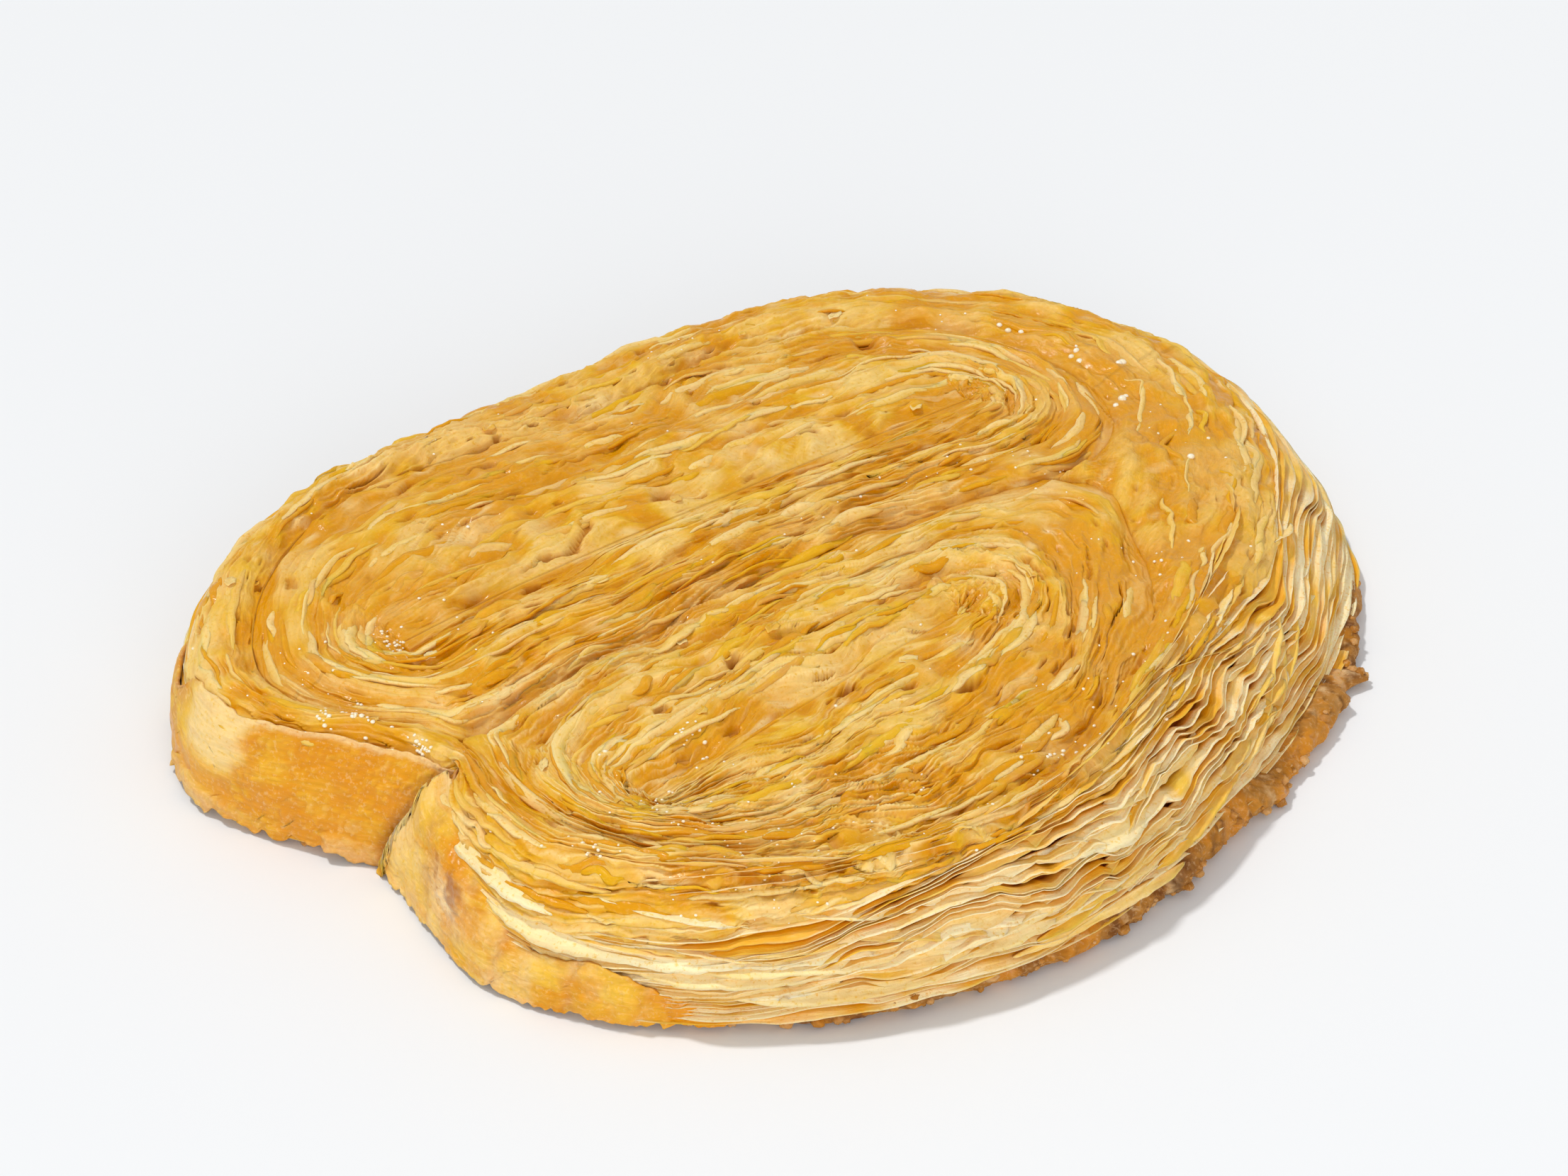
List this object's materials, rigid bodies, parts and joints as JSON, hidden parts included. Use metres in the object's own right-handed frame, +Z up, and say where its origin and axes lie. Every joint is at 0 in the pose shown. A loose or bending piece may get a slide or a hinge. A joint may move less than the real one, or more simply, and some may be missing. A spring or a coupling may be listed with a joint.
{
  "type": "palmier pastry",
  "caption": "Flat heart-shaped palmier of rolled laminated pastry, with paired long rolls, a notch between their ends, fanned leaves at the side and a caramel foot.",
  "frame": {"origin": "middle of the outline's box, on the flat underside that it rests on", "axes": "+Z up out of the flat top; Y along the two rolls, with the notch at -Y and the closed spine end at +Y; X across the rolls, with the fanned leaves on the +X side"},
  "size_m": [0.0992, 0.1192, 0.0163],
  "materials": {
    "glazed_crust": null
  },
  "bodies": {
    "root": {"palmier": "glazed_crust"}
  },
  "joints": []
}
